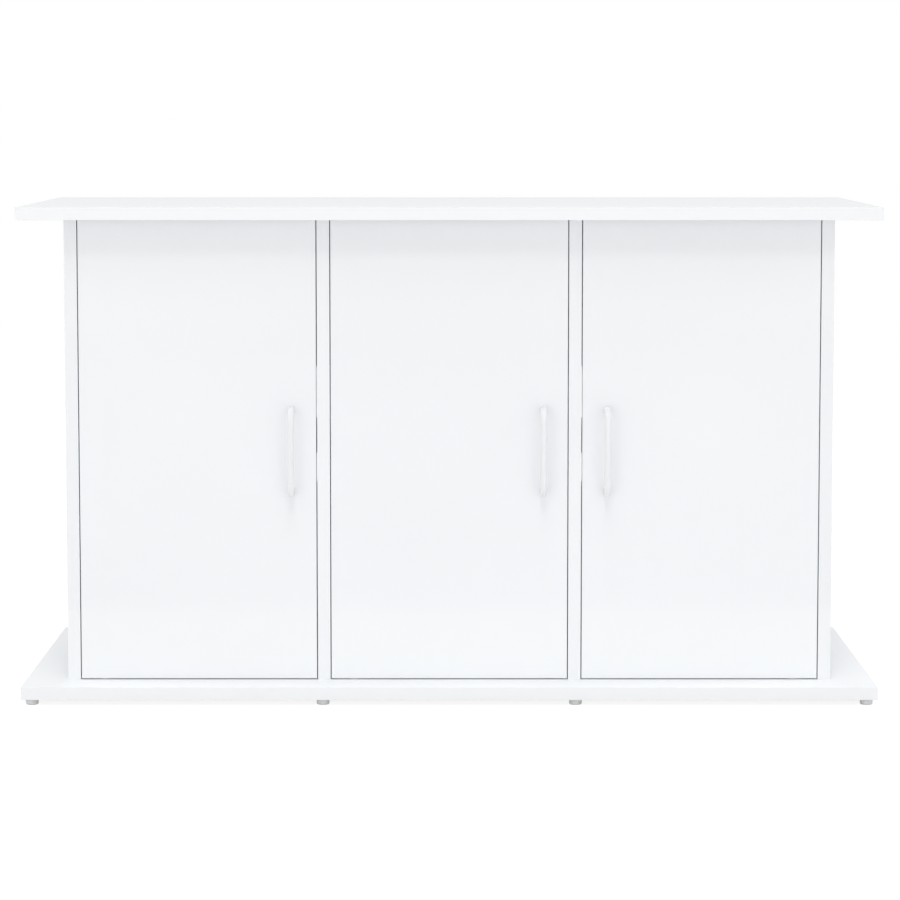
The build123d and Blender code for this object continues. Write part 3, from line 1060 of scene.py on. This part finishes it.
@dataclass
class Studio:
    """The white room: sky, floor, lamps and camera.

    Attributes:
        sky: how bright the sky is that lights the stand, with 1 for white.
        mirror_sky: how bright the sky is in gloss.
        floor_glow: the light that the seen floor gives by itself.
        floor_tint: the colour of the seen floor's part that takes light and shadow.
        floor_base: the colour of the floor that throws light on the stand.
        floor_size: the length of the floor's side.
        sheet_margin: how far past the stand the white sheet reaches that gloss shows.
        sheet_fade: how soft the sheet's edge is.
        sheet_white: the sheet's colour.
        beyond_sheet: the colour that gloss shows past the sheet.
        ahead: how far the camera stands before the stand's front.
        above: how far it stands over the top.
        lens: its lens, in millimetres.
        sensor: its sensor's width, in millimetres.
        tilt: how far it looks down, in degrees.
        shift: how far its picture is moved, in sensor widths.
        side: how far it stands right of the middle.
        lamps: the lamps.
    """

    sky: float = 0.71
    mirror_sky: float = 0.68
    floor_glow: float = 0.88
    floor_tint: float = 0.20
    floor_base: float = 0.80
    floor_size: float = 12.0
    sheet_margin: float = 0.58
    sheet_fade: float = 0.06
    sheet_white: Colour = (1.0, 1.0, 0.92)
    beyond_sheet: Colour = (0.42, 0.42, 0.52)
    ahead: float = 3.423
    above: float = 0.110
    lens: float = 117.77
    sensor: float = 36.0
    tilt: float = 4.808
    shift: float = -0.1
    side: float = 0.0009
    lamps: tuple[SoftBox, ...] = (
        SoftBox("key_lamp", -1.0, 42.0, 3.2, 0.45, 8.2),
        SoftBox("high_lamp", 0.0, 57.0, 3.2, 0.9, 5.0),
        SoftBox("steep_lamp", 0.0, 77.0, 6.0, 1.9, 36.0),
        SoftBox("front_left_lamp", -22.0, 5.0, 3.2, 1.0, 6.3),
        SoftBox("front_right_lamp", 22.0, 5.0, 3.2, 1.0, 5.4),
        SoftBox("side_left_lamp", -86.0, 34.0, 3.2, 1.4, 18.0),
        SoftBox("side_right_lamp", 86.0, 34.0, 3.2, 1.4, 18.0),
        SoftBox("back_lamp", 172.0, 4.0, 3.2, 1.6, 22.0),
    )

    def seen_by(self, graph: Graph, *rays: Ray) -> bpy.types.NodeSocket:
        """1 for the given kinds of ray and 0 for the rest.

        Args:
            graph: the floor's or the world's graph.
            *rays: the kinds that count.

        Returns:
            The socket with the 0 or 1.
        """
        path = graph.node("ShaderNodeLightPath")
        total = path.outputs[rays[0].value]
        for ray in rays[1:]:
            total = graph.calc("MAXIMUM", total, path.outputs[ray.value])
        return total

    def choose(self, graph: Graph, *parts: bpy.types.NodeSocket) -> bpy.types.NodeSocket:
        """One of two shaders.

        Args:
            graph: the graph that they are in.
            *parts: the share (0 for the first shader and 1 for the second) and the two shaders.

        Returns:
            The chosen shader's socket.
        """
        mix = graph.node("ShaderNodeMixShader")
        for part, target in zip(parts, mix.inputs):
            graph.link(part, target)
        return mix.outputs["Shader"]

    def glow(self, graph: Graph, kind: str, strength: float) -> bpy.types.NodeSocket:
        """A white emission or background.

        Args:
            graph: the graph that it is in.
            kind: the node's type name.
            strength: how bright it is.

        Returns:
            The shader's socket.
        """
        light = graph.node(kind)
        light.inputs["Color"].default_value = (1.0, 1.0, 1.0, 1.0)
        light.inputs["Strength"].default_value = strength
        return light.outputs[0]

    def light_sky(self) -> None:
        """An even white sky, pure white behind the stand and a little less in its gloss."""
        world = bpy.data.worlds.new("studio_sky")
        bpy.context.scene.world = world
        world.use_nodes = True
        graph = Graph(world.node_tree, "ShaderNodeOutputWorld")
        strengths = (self.sky, self.mirror_sky, 1.0)
        lit, mirrored, behind = (self.glow(graph, "ShaderNodeBackground", s) for s in strengths)
        shown = self.choose(graph, self.seen_by(graph, Ray.GLOSSY, Ray.TRANSMISSION), lit, mirrored)
        shown = self.choose(graph, self.seen_by(graph, Ray.CAMERA), shown, behind)
        graph.link(shown, graph.output)

    def sheet(self, graph: Graph) -> bpy.types.NodeSocket:
        """What gloss shows of the floor: a white sheet round the stand on a greyer floor.

        Args:
            graph: the floor's graph.

        Returns:
            The emission's socket.
        """
        out = [graph.calc("ABSOLUTE", axis) for axis in graph.axes()[:2]]
        past = [graph.calc("SUBTRACT", far, edge + self.sheet_margin) for far, edge in zip(out, cad_high)]
        away = graph.calc("MAXIMUM", *past)
        share = graph.span(away, -self.sheet_fade / 2, self.sheet_fade / 2, 0.0, 1.0)
        light = graph.node("ShaderNodeEmission")
        graph.link(graph.blend(share, self.sheet_white, self.beyond_sheet), light.inputs["Color"])
        return light.outputs["Emission"]

    def lay_floor(self) -> None:
        """A white floor that keeps a faint shadow of the stand."""
        half = self.floor_size / 2
        mesh = bmesh.new()
        corners = ((-half, -half), (half, -half), (half, half), (-half, half))
        mesh.faces.new([mesh.verts.new((x, y, 0.0)) for x, y in corners])
        data = bpy.data.meshes.new("studio_floor")
        mesh.to_mesh(data)
        mesh.free()
        floor = bpy.data.objects.new("studio_floor", data)
        bpy.context.scene.collection.objects.link(floor)
        material = bpy.data.materials.new("studio_floor")
        material.use_nodes = True
        graph = Graph(material.node_tree, "ShaderNodeOutputMaterial")
        plain, faint = (graph.node("ShaderNodeBsdfDiffuse") for _ in range(2))
        plain.inputs["Color"].default_value = (self.floor_base,) * 3 + (1.0,)
        faint.inputs["Color"].default_value = (self.floor_tint,) * 3 + (1.0,)
        white = graph.node("ShaderNodeAddShader")
        graph.link(faint.outputs["BSDF"], white.inputs[0])
        graph.link(self.glow(graph, "ShaderNodeEmission", self.floor_glow), white.inputs[1])
        seen = self.seen_by(graph, Ray.CAMERA, Ray.TRANSMISSION)
        shown = self.choose(graph, seen, plain.outputs["BSDF"], white.outputs["Shader"])
        shown = self.choose(graph, self.seen_by(graph, Ray.GLOSSY), shown, self.sheet(graph))
        graph.link(shown, graph.output)
        data.materials.append(material)

    def place_camera(self) -> None:
        """A long lens straight ahead, a little above the top and tilted slightly down."""
        data = bpy.data.cameras.new("camera")
        data.lens = self.lens
        data.sensor_width = self.sensor
        data.shift_y = self.shift
        camera = bpy.data.objects.new("camera", data)
        bpy.context.scene.collection.objects.link(camera)
        camera.location = (self.side, cad_low.y - self.ahead, cad_high.z + self.above)
        camera.rotation_euler = (math.radians(90.0 - self.tilt), 0.0, 0.0)
        bpy.context.scene.camera = camera

    def build(self) -> None:
        """Sets up the room round the stand."""
        self.light_sky()
        self.lay_floor()
        target = (cad_low + cad_high) / 2
        for lamp in self.lamps:
            lamp.build(target)
        self.place_camera()
        bpy.context.scene.view_settings.view_transform = "Standard"
        LOG.info("built the studio")


def main() -> None:
    """Builds and dresses every sub-assembly, then the studio."""
    logging.basicConfig(level=logging.INFO, format="%(name)s: %(message)s")
    Studio().build()
    Carcass().dress()
    Fittings().dress()
    Feet().build()
    for bay in Bay:
        Shelf(bay).dress()
        Door(bay).dress()


if __name__ == "__main__":
    main()
